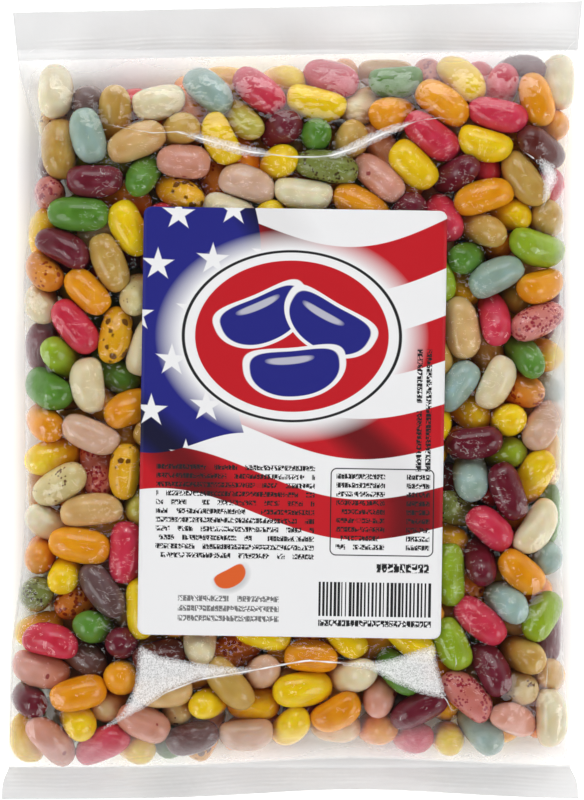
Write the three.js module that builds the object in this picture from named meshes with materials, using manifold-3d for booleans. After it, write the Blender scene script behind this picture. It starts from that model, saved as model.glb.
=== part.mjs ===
// A sealed clear film bag of jelly beans with a paper label on its front, lying on its back, in millimetres.
// The bag is one solid: a pillow with two flat seals, and on its front the beans that stand out under the film.
// +Y runs along the bag from its lower seal to its upper one, +Z is up, and the origin is under the middle.
import * as THREE from "three";
import { mergeVertices } from "three/addons/utils/BufferGeometryUtils.js";
import Module from "manifold-3d";

// The film bag
const PACK_WIDTH = 163.4;
const PACK_LENGTH = 224.4;
const FILL_HEIGHT = 25;
const SEAL_HEIGHT = 6.5; // above the table
const SEAL_THICKNESS = 0.7;
const LOWER_SEAL = 9;
const UPPER_SEAL = 14;
const TOP_EDGE_SLANT = 3.3; // the upper cut runs lower on the left
const FOOT_BOW = { rise: 2.7, x: 18, half: 38 }; // the lower cut bows up right of the middle

// How far each long edge lies inside the widest line: [distance from the lower cut, inset]
const LEFT_INSETS = [
  [0, 0], [5, 0.5], [9.5, 2.1], [28, 3.1], [45, 3.9], [70, 6.8], [108, 7], [146, 7],
  [168, 9], [186, 11], [197, 7.9], [208, 5.1], [225, 3.1],
];
const RIGHT_INSETS = [
  [0, 1.1], [5, 1.7], [9.5, 3.6], [28, 4.8], [45, 5.7], [108, 5.9], [160, 5.6],
  [176, 5.2], [191, 3.7], [202, 2.2], [213, 1.1], [225, 0],
];

// How quickly the pillow swells from its edges, and how blunt that swelling is
const END_SWELL = { front: 30, back: 16, power: 2.1 };
const SIDE_SWELL = { front: 17, back: 12, power: 2.2 };
const SIDE_HEIGHT = 10.5; // where front and back film meet along the sides

// One jelly bean
const BEAN_LENGTH = 16.4;
const BEAN_WIDTH = 9.8;
const LENGTH_SPREAD = 0.09; // as a share of the length
const WIDTH_SPREAD = 0.055; // as a share of the width
const BEAN_BLUNTNESS = 2.3; // 2 is an ellipse, more is squarer
const BEAN_BEND = 0.12; // of its width
const BEAN_SIDES = 8;
const BEAN_RINGS = [-0.88, -0.45, 0.45, 0.88]; // from tail to head, as shares of half its length

// How the beans fill the bag
const BEAN_COUNT = 500;
const EVEN_STEPS = [0.856675, 0.733892, 0.628707, 0.538597]; // spread points evenly in four directions
const MOST_PITCH = 0.55; // how steeply a bean starts out, in radians for each of three draws
const SEED = 20;
const SETTLING_STEPS = 240;
const SETTLING_STRENGTH = 0.5; // the share of a push that is taken in one step
const LOBE_SPACING = 0.21; // a bean pushes with three spheres, this share of its length apart
const LOBE_RADII = [0.46, 0.49, 0.46]; // as shares of its width
const STEEPEST = 4; // slopes of the film are read up to this
const SLOPE_STEP = 0.5;
const FILM_SAG = 4; // how far the film dips between the beans
const BEAN_SHOWS = 0.9; // a bean is modelled where it stands this far out of the sagging film

// How far the beans stay short of the lower and the upper seal, from the left side to the right
const HEAP_FOOT = [
  [0, 1.2], [52, 1.2], [72, 4], [104, 4], [112, 2], [136, 3], [144, 8], [152, 7], [163.4, 3],
];
const HEAP_TOP = [
  [0, 1.2], [16, 1.2], [24, 7], [48, 7.5], [56, 3], [82, 2.5], [90, 1.2], [163.4, 1.2],
];

// The paper label
const LABEL_WIDTH = 84.2;
const LABEL_LENGTH = 118.8;
const LABEL_MIDDLE = { x: 0.1, y: -6.3 };
const LABEL_CORNER = 2.2;
const LABEL_THICKNESS = 0.3;
const LABEL_TURN = -0.0155; // radians
const LABEL_WAVE = { height: 0.3, x: 4.1, y: 5.3 }; // faint bumps from the beans below
const LABEL_ROWS = 18;
const LABEL_COLUMNS = 13;
const GAP = 0.3; // between the label and the film
const BED_DEPTH = 12; // how far down the film's bed under the label reaches
const CUT_MARGIN = 1; // by which the bed stands into the cut that trims it

// How finely the pillow is divided
const BAG_ROWS = 20;
const BAG_COLUMNS = 14;

const clamp = (value, low, high) => Math.min(high, Math.max(low, value));

// A smooth line through [position, value] pairs
function smoothLine(pairs) {
  const slopes = pairs.map((_, i) => {
    const a = pairs[Math.max(0, i - 1)];
    const b = pairs[Math.min(pairs.length - 1, i + 1)];
    return (b[1] - a[1]) / (b[0] - a[0]);
  });
  return (at) => {
    let i = 0;
    while (i < pairs.length - 2 && at > pairs[i + 1][0]) i++;
    const [x0, y0] = pairs[i];
    const [x1, y1] = pairs[i + 1];
    const span = x1 - x0;
    const t = clamp((at - x0) / span, 0, 1);
    const s = 1 - t;
    return (
      y0 * s * s * (1 + 2 * t) + y1 * t * t * (3 - 2 * t) +
      span * s * t * (slopes[i] * s - slopes[i + 1] * t)
    );
  };
}

const leftInset = smoothLine(LEFT_INSETS);
const rightInset = smoothLine(RIGHT_INSETS);
const heapFoot = smoothLine(HEAP_FOOT);
const heapTop = smoothLine(HEAP_TOP);
const leftEdge = (along) => leftInset(along) - PACK_WIDTH / 2;
const rightEdge = (along) => PACK_WIDTH / 2 - rightInset(along);

// The two cuts, as distances along the bag at x
const lowerCut = (x) => FOOT_BOW.rise * Math.exp(-(((x - FOOT_BOW.x) / FOOT_BOW.half) ** 2));
const upperCut = (x) => PACK_LENGTH - TOP_EDGE_SLANT * (0.5 - x / PACK_WIDTH);

// From 0 at an edge to 1 where the swelling ends
const swell = (distance, reach, power) =>
  (1 - (1 - clamp(distance / reach, 0, 1)) ** power) ** (1 / power);

// How far the front or back film has swollen from the pack's edge at (x, y): 0 to 1
function swollen(x, y, side) {
  const along = y + PACK_LENGTH / 2;
  const ends = Math.min(along - lowerCut(x) - LOWER_SEAL, upperCut(x) - UPPER_SEAL - along);
  const sides = Math.min(x - leftEdge(along), rightEdge(along) - x);
  return (
    swell(ends, END_SWELL[side], END_SWELL.power) * swell(sides, SIDE_SWELL[side], SIDE_SWELL.power)
  );
}

// The height at which front and back film meet, lower at the seals than along the sides
function rimHeight(x, y) {
  const along = y + PACK_LENGTH / 2;
  const ends = Math.min(along - LOWER_SEAL, PACK_LENGTH - UPPER_SEAL - along);
  return SEAL_HEIGHT + (SIDE_HEIGHT - SEAL_HEIGHT) * swell(ends, END_SWELL.front, 2);
}

const frontHeight = (x, y) => {
  const rim = rimHeight(x, y);
  return rim + (FILL_HEIGHT - rim) * swollen(x, y, "front");
};
const backHeight = (x, y) => rimHeight(x, y) * (1 - swollen(x, y, "back"));

// A seeded source of numbers from 0 to 1
function drawFrom(seed) {
  let state = seed;
  return () => {
    state = (state * 1664525 + 1013904223) % 4294967296;
    return state / 4294967296;
  };
}

// Scatters the beans through the bag at random headings
function scatterBeans() {
  const draw = drawFrom(SEED);
  const beans = [];
  for (let k = 0; beans.length < BEAN_COUNT; k++) {
    const [across, along, level, keep] = EVEN_STEPS.map((step) => (k * step) % 1);
    const heading = draw() * Math.PI;
    const pitch = (draw() + draw() + draw() - 1.5) * MOST_PITCH;
    const length = BEAN_LENGTH * (1 + LENGTH_SPREAD * (2 * draw() - 1));
    const width = BEAN_WIDTH * (1 + WIDTH_SPREAD * (2 * draw() - 1));
    const x = (across - 0.5) * PACK_WIDTH;
    const y = (along - 0.5) * PACK_LENGTH;
    const room = frontHeight(x, y) - backHeight(x, y);
    if (room < width || keep * FILL_HEIGHT > room) continue;
    const axis = new THREE.Vector3(
      Math.cos(heading) * Math.cos(pitch), Math.sin(heading) * Math.cos(pitch), Math.sin(pitch),
    );
    const z = backHeight(x, y) + width / 2 + level * (room - width);
    beans.push({ middle: new THREE.Vector3(x, y, z), axis, length, width });
  }
  return beans;
}

// The three spheres that stand for a bean while it settles
function lobesOf(bean) {
  return LOBE_RADII.map((share, k) => ({
    centre: bean.middle.clone().addScaledVector(bean.axis, (k - 1) * LOBE_SPACING * bean.length),
    radius: bean.width * share,
    push: new THREE.Vector3(),
  }));
}

// The slope of a height from a to b
const slope = (a, b) => clamp((b - a) / (2 * SLOPE_STEP), -STEEPEST, STEEPEST);

// Moves a lobe back inside the film: front, back, both sides and both seals
function keepInFilm(lobe) {
  const { x, y, z } = lobe.centre;
  const along = y + PACK_LENGTH / 2;
  for (const [height, up] of [[frontHeight, 1], [backHeight, -1]]) {
    const slopeX = slope(height(x - SLOPE_STEP, y), height(x + SLOPE_STEP, y));
    const slopeY = slope(height(x, y - SLOPE_STEP), height(x, y + SLOPE_STEP));
    const lean = Math.hypot(1, slopeX, slopeY);
    const short = lobe.radius - (up * (height(x, y) - z)) / lean;
    if (short > 0) {
      lobe.centre.x += (up * short * slopeX) / lean;
      lobe.centre.y += (up * short * slopeY) / lean;
      lobe.centre.z -= (up * short) / lean;
    }
  }
  lobe.centre.x += Math.max(0, leftEdge(along) + lobe.radius - x);
  lobe.centre.x -= Math.max(0, x + lobe.radius - rightEdge(along));
  const across = x + PACK_WIDTH / 2;
  const lowest = lowerCut(x) + LOWER_SEAL + heapFoot(across) + lobe.radius;
  const highest = upperCut(x) - UPPER_SEAL - heapTop(across) - lobe.radius;
  lobe.centre.y += Math.max(0, lowest - along) - Math.max(0, along - highest);
}

// Adds the pushes of two beans that lie in each other
function addBeanPush(lobes, others) {
  for (const a of lobes) {
    for (const b of others) {
      const gap = a.centre.clone().sub(b.centre);
      const overlap = a.radius + b.radius - gap.length();
      if (overlap <= 0) continue;
      gap.setLength(overlap / 2);
      a.push.add(gap);
      b.push.sub(gap);
    }
  }
}

// Lets the beans push each other and the film until they lie side by side
function settle(beans) {
  for (let step = 0; step < SETTLING_STEPS; step++) {
    const lobes = beans.map(lobesOf);
    beans.forEach((bean, i) => {
      for (let j = i + 1; j < beans.length; j++) {
        const reach = (bean.length + beans[j].length) / 2;
        if (bean.middle.distanceToSquared(beans[j].middle) < reach * reach) addBeanPush(lobes[i], lobes[j]);
      }
    });
    beans.forEach((bean, i) => {
      for (const lobe of lobes[i]) {
        lobe.centre.addScaledVector(lobe.push, SETTLING_STRENGTH);
        keepInFilm(lobe);
      }
      const [tail, waist, head] = lobes[i].map((lobe) => lobe.centre);
      bean.middle.copy(tail).add(waist).add(head).divideScalar(3);
      bean.axis.subVectors(head, tail).normalize();
    });
  }
  return beans;
}

// The shape of one bean: a blunt spindle, slightly bent to its side
function beanShape(bean) {
  const across = new THREE.Vector3(-bean.axis.y, bean.axis.x, 0).normalize();
  const up = new THREE.Vector3().crossVectors(bean.axis, across);
  const at = (s, turn) => {
    const radius = (bean.width / 2) * (1 - Math.abs(s) ** BEAN_BLUNTNESS) ** (1 / BEAN_BLUNTNESS);
    const bend = BEAN_BEND * bean.width * (1 / 3 - s * s);
    return bean.middle.clone()
      .addScaledVector(bean.axis, (s * bean.length) / 2)
      .addScaledVector(across, bend + radius * Math.cos(turn))
      .addScaledVector(up, radius * Math.sin(turn));
  };
  const points = [at(-1, 0)];
  for (const s of BEAN_RINGS) {
    for (let k = 0; k < BEAN_SIDES; k++) points.push(at(s, (2 * Math.PI * k) / BEAN_SIDES));
  }
  points.push(at(1, 0));
  const index = [];
  const last = points.length - 1;
  const ring = (r, k) => 1 + r * BEAN_SIDES + (k % BEAN_SIDES);
  for (let k = 0; k < BEAN_SIDES; k++) {
    index.push(0, ring(0, k + 1), ring(0, k));
    for (let r = 0; r < BEAN_RINGS.length - 1; r++) {
      index.push(ring(r, k), ring(r, k + 1), ring(r + 1, k + 1));
      index.push(ring(r, k), ring(r + 1, k + 1), ring(r + 1, k));
    }
    index.push(last, ring(BEAN_RINGS.length - 1, k), ring(BEAN_RINGS.length - 1, k + 1));
  }
  return geometryOf(points, index);
}

function geometryOf(points, index) {
  const geometry = new THREE.BufferGeometry().setFromPoints(points);
  geometry.setIndex(index);
  return geometry;
}

// A closed slab between two heights, over a grid of (x, y) places given as rows
function slab(places, frontAt, backAt) {
  const rows = places.length;
  const columns = places[0].length;
  const points = [];
  for (const heightAt of [frontAt, backAt]) {
    for (const row of places) {
      for (const [x, y] of row) points.push(new THREE.Vector3(x, y, heightAt(x, y)));
    }
  }
  const front = (r, c) => r * columns + c;
  const back = (r, c) => rows * columns + front(r, c);
  const index = [];
  const quad = (a, b, c, d) => index.push(a, b, c, a, c, d);
  for (let r = 0; r < rows - 1; r++) {
    for (let c = 0; c < columns - 1; c++) {
      quad(front(r, c), front(r, c + 1), front(r + 1, c + 1), front(r + 1, c));
      quad(back(r, c), back(r + 1, c), back(r + 1, c + 1), back(r, c + 1));
    }
    quad(front(r, 0), front(r + 1, 0), back(r + 1, 0), back(r, 0));
    quad(front(r, columns - 1), back(r, columns - 1), back(r + 1, columns - 1), front(r + 1, columns - 1));
  }
  for (let c = 0; c < columns - 1; c++) {
    quad(front(0, c), back(0, c), back(0, c + 1), front(0, c + 1));
    quad(front(rows - 1, c), front(rows - 1, c + 1), back(rows - 1, c + 1), back(rows - 1, c));
  }
  return geometryOf(points, index);
}

// Places across the bag, closer together towards its edges
function bagPlaces() {
  return alongSteps().map((along) => {
    const share = along / PACK_LENGTH;
    const row = [];
    for (let c = 0; c <= BAG_COLUMNS; c++) {
      const across = 0.5 - 0.5 * Math.cos((Math.PI * c) / BAG_COLUMNS);
      const x = THREE.MathUtils.lerp(leftEdge(along), rightEdge(along), across);
      row.push([x, THREE.MathUtils.lerp(lowerCut(x), upperCut(x), share) - PACK_LENGTH / 2]);
    }
    return row;
  });
}

// Distances along the bag: both cuts, both seals, and closer together where it swells
function alongSteps() {
  const steps = [0, LOWER_SEAL];
  for (let k = 1; k < BAG_ROWS; k++) {
    const share = 0.5 - 0.5 * Math.cos((Math.PI * k) / BAG_ROWS);
    steps.push(THREE.MathUtils.lerp(LOWER_SEAL, PACK_LENGTH - UPPER_SEAL, share));
  }
  return [...steps, PACK_LENGTH - UPPER_SEAL, PACK_LENGTH];
}

// Places over the label, or over a margin wider, with the corners cut round
function labelPlaces(margin) {
  const halfWidth = LABEL_WIDTH / 2 + margin;
  const halfLength = LABEL_LENGTH / 2 + margin;
  const corner = LABEL_CORNER + margin;
  const rows = [];
  for (let r = 0; r <= LABEL_ROWS; r++) {
    const y = labelStep(r, LABEL_ROWS, halfLength, corner);
    const row = [];
    for (let c = 0; c <= LABEL_COLUMNS; c++) {
      const x = labelStep(c, LABEL_COLUMNS, halfWidth, corner);
      row.push(roundCorner(x, y, halfWidth, halfLength, corner));
    }
    rows.push(row);
  }
  return rows.map((row) => row.map(([x, y]) => [
    LABEL_MIDDLE.x + x * Math.cos(LABEL_TURN) - y * Math.sin(LABEL_TURN),
    LABEL_MIDDLE.y + x * Math.sin(LABEL_TURN) + y * Math.cos(LABEL_TURN),
  ]));
}

// Even steps from edge to edge, with one extra line where each corner's arc ends
function labelStep(k, count, half, corner) {
  if (k === 0) return -half;
  if (k === count) return half;
  return THREE.MathUtils.mapLinear(k, 1, count - 1, corner - half, half - corner);
}

// Moves a corner point of the label in to its arc
function roundCorner(x, y, halfWidth, halfLength, corner) {
  if (Math.abs(x) < halfWidth || Math.abs(y) < halfLength) return [x, y];
  const inset = corner * (1 - Math.SQRT1_2);
  return [Math.sign(x) * (halfWidth - inset), Math.sign(y) * (halfLength - inset)];
}

// The label's underside: the pillow's front with faint waves from the beans below
const labelUnder = (x, y) =>
  frontHeight(x, y) + LABEL_WAVE.height * Math.sin(x / LABEL_WAVE.x) * Math.cos(y / LABEL_WAVE.y);

const wasm = await Module();
wasm.setup();
const WELD = 1e-4;

// A closed geometry as a solid that can be joined and cut
function solidOf(geometry) {
  const merged = mergeVertices(geometry, WELD);
  return new wasm.Manifold(new wasm.Mesh({
    numProp: 3,
    vertProperties: merged.getAttribute("position").array,
    triVerts: new Uint32Array(merged.index.array),
  }));
}

function geometryFrom(solid) {
  const { vertProperties, triVerts } = solid.getMesh();
  return new THREE.BufferGeometry()
    .setAttribute("position", new THREE.BufferAttribute(vertProperties, 3))
    .setIndex(new THREE.BufferAttribute(triVerts, 1));
}

// The main body of a solid, without sealed hollows or loose scraps
const wholeOf = (solid) =>
  solid.decompose().reduce((main, body) => (body.volume() > main.volume() ? body : main));

// The film bag with the beans under its front, and its flat back
function makeBag(beans) {
  const half = SEAL_THICKNESS / 2;
  const front = (x, y) =>
    rimHeight(x, y) + half + (FILL_HEIGHT - FILM_SAG - rimHeight(x, y) - half) * swollen(x, y, "front");
  const back = (x, y) => (rimHeight(x, y) - half) * (1 - swollen(x, y, "back"));
  const bedTop = (x, y) => labelUnder(x, y) + CUT_MARGIN;
  let bag = solidOf(slab(bagPlaces(), front, back));
  bag = bag.add(solidOf(slab(labelPlaces(0), bedTop, () => FILL_HEIGHT - BED_DEPTH)));
  for (const bean of beans) {
    const { x, y, z } = bean.middle;
    const standsOut = z + bean.width / 2 > front(x, y) + BEAN_SHOWS;
    if (standsOut && !underLabel(x, y)) bag = bag.add(solidOf(beanShape(bean)));
  }
  const cut = slab(labelPlaces(GAP), () => 2 * FILL_HEIGHT, (x, y) => labelUnder(x, y) - GAP);
  bag = wholeOf(bag.subtract(solidOf(cut)));
  return named("bag", geometryFrom(bag), { color: 0xe9c27a, roughness: 0.25, metalness: 0 });
}

function named(name, geometry, looks) {
  const mesh = new THREE.Mesh(geometry, new THREE.MeshStandardMaterial(looks));
  mesh.name = name;
  return mesh;
}

// True where a bean's middle lies so far in under the label that none of it shows
function underLabel(x, y) {
  const inset = BEAN_LENGTH / 2;
  return (
    Math.abs(x - LABEL_MIDDLE.x) < LABEL_WIDTH / 2 - inset &&
    Math.abs(y - LABEL_MIDDLE.y) < LABEL_LENGTH / 2 - inset
  );
}

function makeLabel() {
  const sheet = slab(labelPlaces(0), (x, y) => labelUnder(x, y) + LABEL_THICKNESS, labelUnder);
  return named("label", sheet, { color: 0xf2f2f0, roughness: 0.4, metalness: 0 });
}

const pack = new THREE.Group();
pack.add(makeBag(settle(scatterBeans())), makeLabel());
export default pack;
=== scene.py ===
# A sealed clear film bag of mixed jelly beans with a printed paper label, lying on its back.
# Sizes are in millimetres up to where a mesh is made. +Y runs from the lower seal to the upper one, +Z is up.
import math

import bpy
import numpy as np
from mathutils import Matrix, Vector
from mathutils.bvhtree import BVHTree


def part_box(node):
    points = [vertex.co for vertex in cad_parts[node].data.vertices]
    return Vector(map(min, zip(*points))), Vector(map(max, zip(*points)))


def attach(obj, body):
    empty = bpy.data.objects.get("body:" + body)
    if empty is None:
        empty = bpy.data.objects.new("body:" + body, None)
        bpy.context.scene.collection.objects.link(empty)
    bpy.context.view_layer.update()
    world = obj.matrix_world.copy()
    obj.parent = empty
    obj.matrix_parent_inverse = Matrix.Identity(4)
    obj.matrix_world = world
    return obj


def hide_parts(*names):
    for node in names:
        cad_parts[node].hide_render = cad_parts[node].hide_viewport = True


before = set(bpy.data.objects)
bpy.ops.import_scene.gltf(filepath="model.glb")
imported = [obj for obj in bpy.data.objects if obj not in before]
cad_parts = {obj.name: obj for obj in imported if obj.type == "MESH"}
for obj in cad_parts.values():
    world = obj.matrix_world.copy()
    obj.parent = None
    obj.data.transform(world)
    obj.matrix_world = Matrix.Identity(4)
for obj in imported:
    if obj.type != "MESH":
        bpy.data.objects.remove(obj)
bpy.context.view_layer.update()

MM = 0.001

# The bag, as its solid has it
BAG_LOW, BAG_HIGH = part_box("bag")
PACK_LENGTH = (BAG_HIGH[1] - BAG_LOW[1]) / MM
PACK_WIDTH = 163.4
FILL_HEIGHT = 25
SEAL_HEIGHT = 6.5
LOWER_SEAL = 9
UPPER_SEAL = 14
TOP_EDGE_SLANT = 3.3
FOOT_BOW = {"rise": 2.7, "x": 18, "half": 38}
LEFT_INSETS = [
    (0, 0), (5, 0.5), (9.5, 2.1), (28, 3.1), (45, 3.9), (70, 6.8), (108, 7), (146, 7),
    (168, 9), (186, 11), (197, 7.9), (208, 5.1), (225, 3.1),
]
RIGHT_INSETS = [
    (0, 1.1), (5, 1.7), (9.5, 3.6), (28, 4.8), (45, 5.7), (108, 5.9), (160, 5.6),
    (176, 5.2), (191, 3.7), (202, 2.2), (213, 1.1), (225, 0),
]
END_SWELL = {"front": 30, "back": 16, "power": 2.1}
SIDE_SWELL = {"front": 17, "back": 12, "power": 2.2}
SIDE_HEIGHT = 10.5

# The beans, and how they settle in the bag
BEAN_LENGTH = 16.4
BEAN_WIDTH = 9.8
LENGTH_SPREAD = 0.09
WIDTH_SPREAD = 0.055
BEAN_COUNT = 500
EVEN_STEPS = (0.856675, 0.733892, 0.628707, 0.538597)
MOST_PITCH = 0.55
SEED = 20
SETTLING_STEPS = 240
SETTLING_STRENGTH = 0.5
LOBE_SPACING = 0.21
LOBE_RADII = np.array([0.46, 0.49, 0.46])
STEEPEST = 4
SLOPE_STEP = 0.5
# How far they stay short of the lower and the upper seal, from the left side to the right
HEAP_FOOT = [(0, 1.2), (52, 1.2), (72, 4), (104, 4), (112, 2), (136, 3), (144, 8), (152, 7), (163.4, 3)]
HEAP_TOP = [(0, 1.2), (16, 1.2), (24, 7), (48, 7.5), (56, 3), (82, 2.5), (90, 1.2), (163.4, 1.2)]

# The shape of one bean
BEAN_BLUNTNESS = 2.6
BEAN_SIDES = 16
BEAN_RINGS = 11
BEAN_BEND = (0.0, 0.13)  # least and most, of its width
BEAN_ROLL = 0.5  # how far a bean's bend is turned out of the level, in radians
BEAN_TAPER = 0.06  # most that one end is fatter than the other
BEAN_FLATNESS = 0.08  # most that a bean is flatter than round
BEAN_DENTS = 0.5  # how uneven its shell is, from hollow to bump
DENTS_SCALE = 150.0
BEAN_STATIONS = 13  # places along it where its lowest point is looked for

# How the kinds are mixed: a bean with one like it this near trades places with any other
ALIKE_APART = 14
DEALING_ROUNDS = 3

# The label
LABEL_WIDTH = 84.2
LABEL_LENGTH = 118.8
LABEL_MIDDLE = (0.1, -6.3)
LABEL_CORNER = 2.2
LABEL_TURN = -0.0155
LABEL_THICKNESS = 0.18
LABEL_STEP = 1.4
LABEL_CORNER_STEPS = 6
LABEL_OVER_FILM = 0.12
LABEL_SINK = 0.5
LABEL_STIFFNESS = 300
LABEL_SMOOTHING = 8
LABEL_CLEARANCE = 0.8  # how much of what its smoothing took from it is given back

# The film's mesh and how it lies on the beans
FILM_STEP = 1.15
SEAL_STEP = 0.33
FILM_COLUMNS = 150
SIDE_CROWDING = 0.5  # how much closer the columns stand towards the sides
FILM_HALF = 0.05
FILM_OVER_BEANS = 0.14
FILM_SAG = 0.006
SIDE_BULGE = 0.012
SIDE_BULGE_REACH = 6
FILM_STEPS = 700
LOWEST_FILM = 0.02
TOUCHING = 1e-6
RAY_START = 100
FAR = 9.0  # what counts as nowhere near a fold

# Ribs pressed into the seals: between two distances from the lower cut
LOWER_RIBS = {"from": 1.2, "to": 8.4, "pitch": 1.1, "height": 0.045}
UPPER_RIBS = {"from": 209.5, "to": 217, "pitch": 1.2, "height": 0.06}
RIB_WAVES = (61, 27, 11)
RIB_FADE = 1.2
ANY_PHASE = 6.28

# Folds in the front film: how strong each is, and the route of its ridge, along which a thin white highlight
# line is painted
FOLDS = [
    (1, [(-66, 78.5), (-54, 77.3), (-46.9, 75.6), (-38.8, 74.2), (-31.8, 74.5), (-27, 73.1), (-21.1, 71.4),
         (-11.8, 68.9), (0, 67.5), (7, 67.5), (11.5, 68), (17.4, 70), (23.3, 73.1), (29.2, 75.6),
         (35.1, 77.6), (40.8, 78.4), (47.8, 77.3), (52, 74.5)]),
    (1, [(-53.1, -91.9), (-41.6, -85.7), (-35.1, -81.2), (-25.9, -77.6), (-9.6, -74.8), (-0.6, -73.1),
         (4.5, -72.3), (15.2, -73.1), (23.3, -73.1), (34, -70)]),
    (0.6, [(38, -80), (42.7, -82.9), (44.5, -86.5), (48.4, -85.2)]),
    (0.7, [(63.5, 69.7), (68.9, 65.9), (74.2, 61.8)]),
    (0.8, [(67.5, 67), (70.3, 60.4), (70.9, 56), (69.4, 52.8)]),
    (0.5, [(70.9, -66.6), (71.1, -75), (70.6, -84.6)]),
    (0.5, [(69.6, -98), (73, -100), (76, -103)]),
    (0.5, [(45.2, -70.5), (45.7, -72.8), (45.1, -75)]),
    (0.4, [(-62.8, 90), (-58.5, 92.6), (-54.2, 94.8)]),
    (0.45, [(-75, 97), (-72, 98.8), (-69, 99.4)]),
    (0.45, [(-52.4, 96.6), (-50.6, 97.7), (-48.4, 97)]),
    (0.4, [(-44.6, 98.4), (-42, 99.3)]),
    (0.5, [(76.6, 97), (78.2, 99.6), (80.4, 101.6)]),
]
# Facets of the film beside the folds, as outlines: lifted a little, and painted with a grainy white glare
FACETS = [
    [(-42.2, -68.3), (-37.1, -71.1), (-30.6, -72.5), (-18.8, -74.2), (-9.6, -74.8), (-11.8, -75.6),
     (-25.9, -77.6), (-35.1, -81.2), (-41.6, -85.7), (-53.1, -91.9), (-47, -87.1), (-43.4, -79.3)],
    [(39.4, -68.3), (40.2, -73.7), (42.7, -82.9), (35.1, -81.2), (28.1, -78.2), (22.2, -74.8), (14.1, -73.4),
     (18.6, -73.1), (27, -72.3), (33.7, -70)],
    [(-31.8, 74.5), (-25.9, 73.7), (-19.7, 72.3), (-14.6, 70.8), (-8.4, 69.4), (-4.8, 68.3), (-8.4, 67.8),
     (-14.6, 68.3), (-21.6, 70.3), (-27, 72.5)],
    [(9.3, 67.8), (14.9, 70.3), (21.4, 73.7), (28.1, 76.2), (33.2, 77.3), (30.4, 75.3), (24.2, 72.3),
     (17.7, 69.2), (12.1, 67.2)],
    [(68.5, 67.5), (73.1, 65.2), (74.2, 61.8), (71.4, 57), (70, 55), (70.2, 62)],
]
FOLD_LIFT = 0.5
FOLD_SPREAD = 1.3
FOLD_LINE = 0.24  # half the width of the painted white highlight line of a strong fold
FOLD_TAPER = 3.5  # how soon a fold reaches its full strength from its ends
FACET_LIFT = 0.4

# The film looks frosted where it stands off the beans: from one gap on, and fully a range further on
HAZE_START = 1.5
HAZE_RANGE = 6
HAZE_SPAN = 3  # beans this many steps of the film away still count as under it
HAZE_SMOOTHING = 8
SIDE_HAZE = 0.7
SIDE_HAZE_REACH = 1.8
END_HAZE = 0.6
END_HAZE_REACH = 8

# Camera and light
CAMERA_HEIGHT = 1500
FRAME_HEIGHT = 224.9  # what the photograph's 800 rows span at the height of the bag's rim
SENSOR = 36

ROOM_LIGHT = 0.93
ROOM_ROOF = 0.06
FLOOR = -0.0002  # in metres, as is its reach
FLOOR_REACH = 3
# Softboxes: azimuth from the near side, angle off the vertical, distance in m, size in m, power in W
LIGHTS = {
    "far_box": (180, 50, 1.0, (0.9, 0.45), 4.1),
    "left_box": (-62, 54, 1.0, (0.6, 0.45), 2.7),
    "right_box": (62, 54, 1.0, (0.6, 0.45), 2.7),
    "near_strip": (0, 7, 1.0, (0.4, 0.06), 0.26),
    "far_strip": (180, 15, 1.0, (0.35, 0.04), 0.16),
}

# The sugar shells: how deep their colour is, how it varies, and how far light runs in them
SHELL_COLOUR = 0.975
SHELL_DARKER = (0.92, 0.88, 0.8)
SHELL_LIGHTER = 0.1
SHELL_CLOUDS = 300.0
SHELL_SKIN = 1200.0
SPECK_RAGGED = 1500.0
SPECK_PATCHES = 210.0
SUGAR = {"Subsurface Radius": (1.0, 0.62, 0.32), "Subsurface Scale": 0.0035, "IOR": 1.44}
DEEP_PAINTED_SHADE = (1, 0.6, 0.3, 1)  # painted shade: what darkens and warms the shells' colour deep in the heap, where little light reaches
# Depth in the heap, in millimetres, at which the painted shade is half on
PAINTED_SHADE_DEPTH = 6

# The film, the floor and the print
FILM_GLOSS = 0.035
FILM_TINT = (0.985, 0.985, 0.985, 1)
HAZE_GREY = (0.86, 0.87, 0.885, 1)
SEAL_GREY = (0.8, 0.8, 0.805, 1)
# The film's mirror colour, and the white of the glare painted along folds and facets
MIRROR_AND_GLARE_WHITE = (0.98, 0.98, 0.98, 1)
GRAIN_PER_METRE = 4300
CRINKLES = 430.0
FOLD_BREAKS = 240.0
HAZE_CLOUDS = 60.0
FLOOR_GLOW = 0.68
# Where the floor's glow ends under the bag: how far in from each end, and how softly
LOWER_GLOW = (12, 7)
UPPER_GLOW = (18.5, 10)
SIDE_GLOW = 4
PAPER_WHITE = (0.9, 0.9, 0.91, 1)
PAPER_TOOTH = 1400.0
PAPER_DIM = (0.55, 0.53, 0.53, 1)
MARK_SHADE = (0.25, 0.25, 0.25, 1)
MARK_BEND = 0.35
INK = (0.014, 0.014, 0.016, 1)
LABEL_RED = (0.54, 0.008, 0.016, 1)
LABEL_DEEP_RED = (0.08, 0.002, 0.004, 1)
LABEL_BLUE = (0.016, 0.018, 0.22, 1)
LABEL_DEEP_BLUE = (0.004, 0.004, 0.03, 1)
LABEL_ORANGE = (0.75, 0.12, 0.02, 1)
STAR_TILT = math.pi / 2 - 0.15
# Within (left, right, bottom, top) on the label: squiggles, their row pitch and how full they are
FINE_PRINT = [
    ((-37.5, 6.5, -38.5, -11.5), 2.45, 0.84),
    ((12.5, 26, -35.5, -13.5), 2.45, 0.9),
    ((32, 38.5, -35.5, -13.5), 2.45, 0.95),
    ((24, 38.5, -42.2, -38), 4.2, 1.1),
    ((8, 39.3, -57, -54), 3.0, 0.93),
]
UPRIGHT_PRINT = ((-13, 21, 33.5, 39), 2.6, 0.9)  # turned: its left and right are heights
PALER_PRINT = ((-31, -3, -56, -47.8), 2.75, 0.92)
TABLE_FRAME = ((11, 39.5, -36.5, -12.5), 1.6, 0.16)  # with its corner and half the width of its line
BAR_FIELD = ((8, 39.3, -53.5, -44), 1.05)  # with the pitch of its bars
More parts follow.
